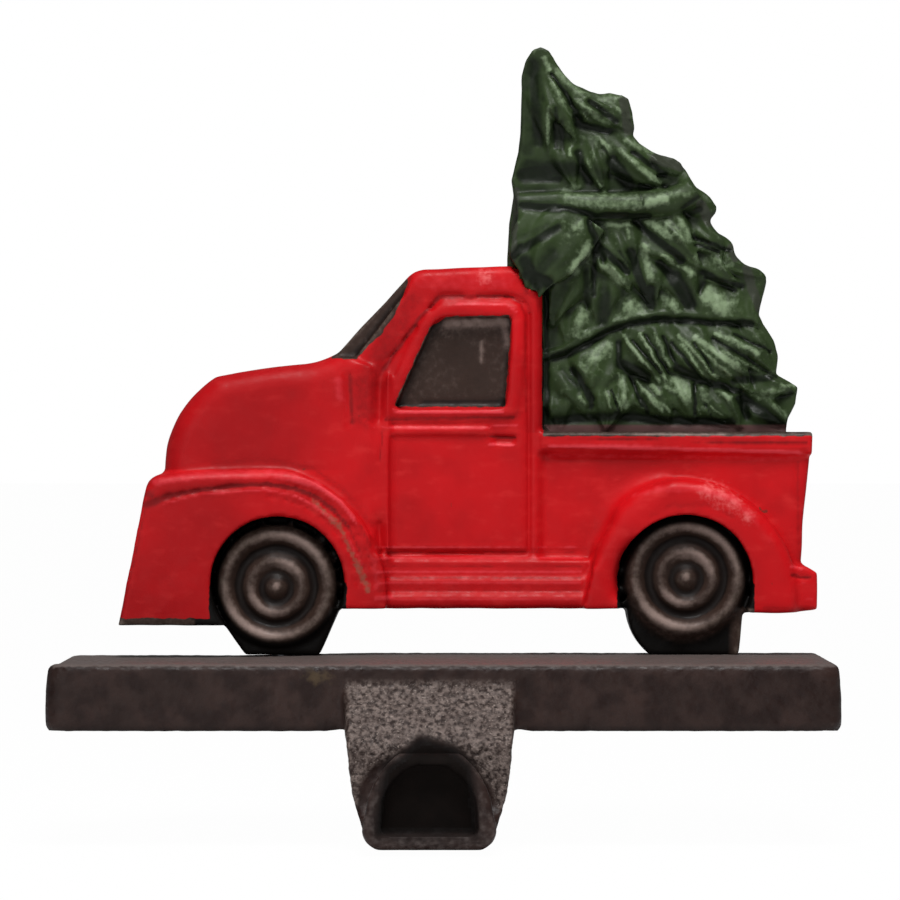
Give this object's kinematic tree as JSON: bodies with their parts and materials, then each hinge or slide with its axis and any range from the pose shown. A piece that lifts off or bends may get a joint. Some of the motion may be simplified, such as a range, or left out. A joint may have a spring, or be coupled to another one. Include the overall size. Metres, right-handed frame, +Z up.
{
  "type": "mantel stocking holder",
  "caption": "Cast-iron mantel stocking holder: a hooked base plate that rests on a mantel, with a relief pickup truck carrying a roped fir tree screwed along its back edge.",
  "frame": {"origin": "on the mantel's top front edge, halfway along the base: the meeting line of the base's underside and the hook's back", "axes": "+X along the base, towards the truck's tail; +Y into the mantel, away from the viewer; +Z up"},
  "size_m": [0.16, 0.088, 0.1645],
  "materials": {
    "base_iron": "dark brown sand-cast surface, waxed, semi-gloss",
    "painted_casting": "sand-cast iron with worn red, green and brown paint, satin",
    "screw_steel": "plain zinc-plated steel"
  },
  "bodies": {
    "root": {"base_with_hook": "base_iron", "truck_and_tree": "painted_casting", "fixing_screws": "screw_steel"}
  },
  "joints": []
}
